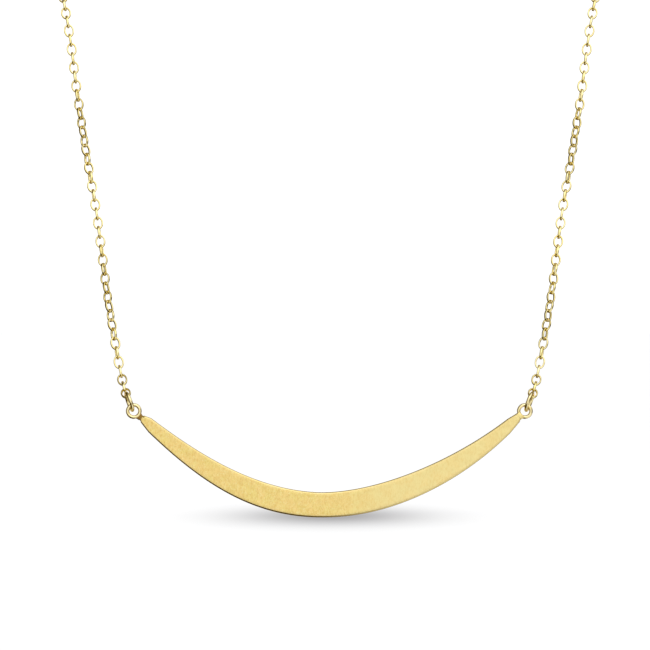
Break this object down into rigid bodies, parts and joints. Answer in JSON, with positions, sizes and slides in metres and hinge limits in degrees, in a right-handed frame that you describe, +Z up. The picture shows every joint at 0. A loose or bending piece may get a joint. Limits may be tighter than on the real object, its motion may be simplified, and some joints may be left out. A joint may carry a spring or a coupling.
{
  "type": "crescent pendant necklace",
  "caption": "Flat crescent pendant hung by a ring at each tip from a fine chain of oval links, closed at the nape by a ring clasp.",
  "frame": {"origin": "middle of the nape, where the clasp lies and the necklace rests on the neck", "axes": "+Z up, +X to the viewer's right, the pendant faces -Y"},
  "size_m": [0.1042, 0.0981, 0.1272],
  "materials": {
    "brushed_gold": "brushed",
    "polished_gold": "polished",
    "chain_gold": "polished"
  },
  "bodies": {
    "chain_loop": {"left_chain": "chain_gold", "right_chain": "chain_gold", "left_jump_ring": "polished_gold", "right_jump_ring": "polished_gold", "clasp": "polished_gold", "clasp_ring": "polished_gold"},
    "pendant": {"crescent_pendant": "brushed_gold"}
  },
  "joints": [
    {"name": "pendant_swing", "type": "hinge", "parent": "chain_loop", "child": "pendant", "pos_m": [0, -0.0948, -0.10506], "axis": [1, 0, 0], "range_deg": [-90, 35]}
  ]
}
